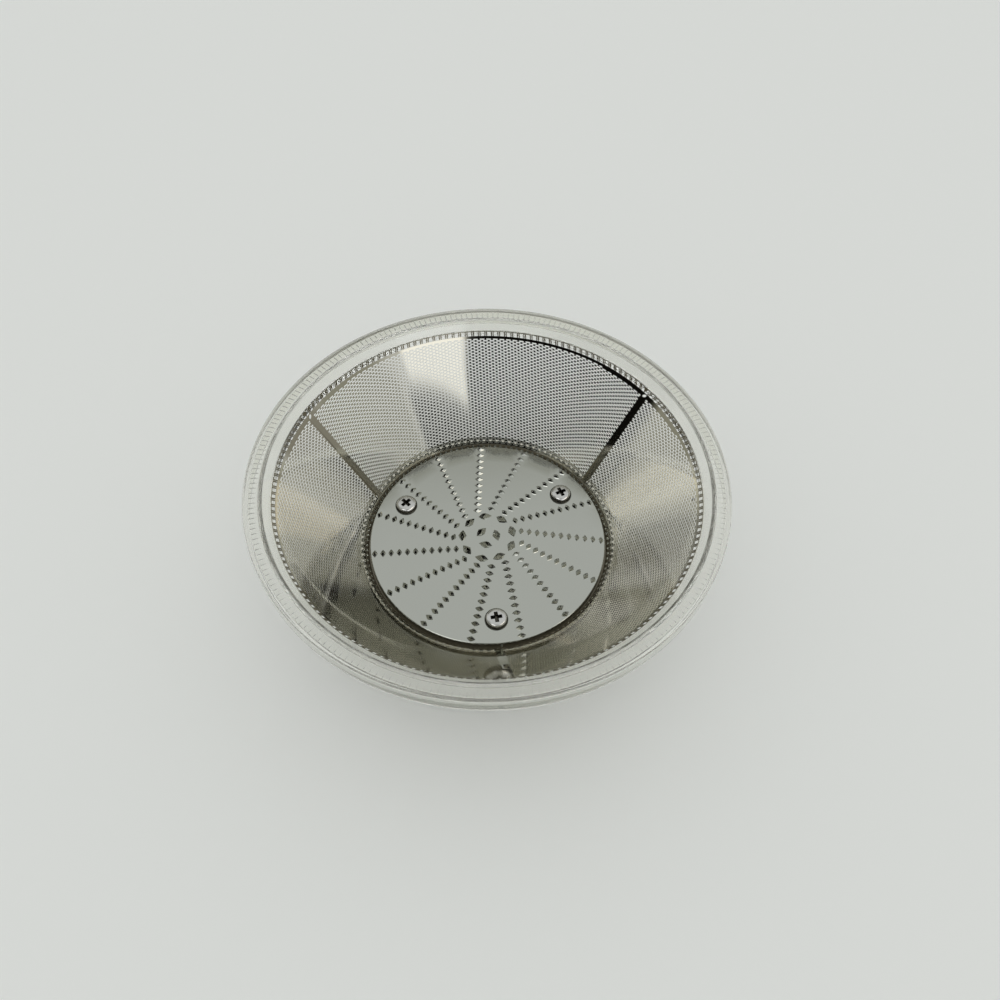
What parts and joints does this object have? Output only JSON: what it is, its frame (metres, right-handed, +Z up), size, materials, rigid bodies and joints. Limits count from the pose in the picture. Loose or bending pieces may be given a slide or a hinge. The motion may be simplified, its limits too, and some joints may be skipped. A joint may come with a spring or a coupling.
{
  "type": "juicer mesh screen",
  "caption": "Round filter basket of a centrifugal juicer: a steel mesh cone with a clear rim and hub, and a toothed steel grating disc screwed to its floor.",
  "frame": {"origin": "centre of the foot ring that the basket stands on", "axes": "+Z up the turning axis towards the rim, -Y towards the screw that is nearest in the picture"},
  "size_m": [0.145, 0.145, 0.0539],
  "materials": {
    "clear_plastic": "clear moulded plastic, smooth, slightly yellow-green",
    "mesh_steel": "polished stainless sheet, etched with fine holes",
    "disc_steel": "polished stainless sheet",
    "screw_steel": "bright stainless"
  },
  "bodies": {
    "root": {"rim_ring": "clear_plastic", "mesh_cone": "mesh_steel", "base_hub": "clear_plastic", "grater_disc": "disc_steel", "disc_screws": "screw_steel"}
  },
  "joints": []
}
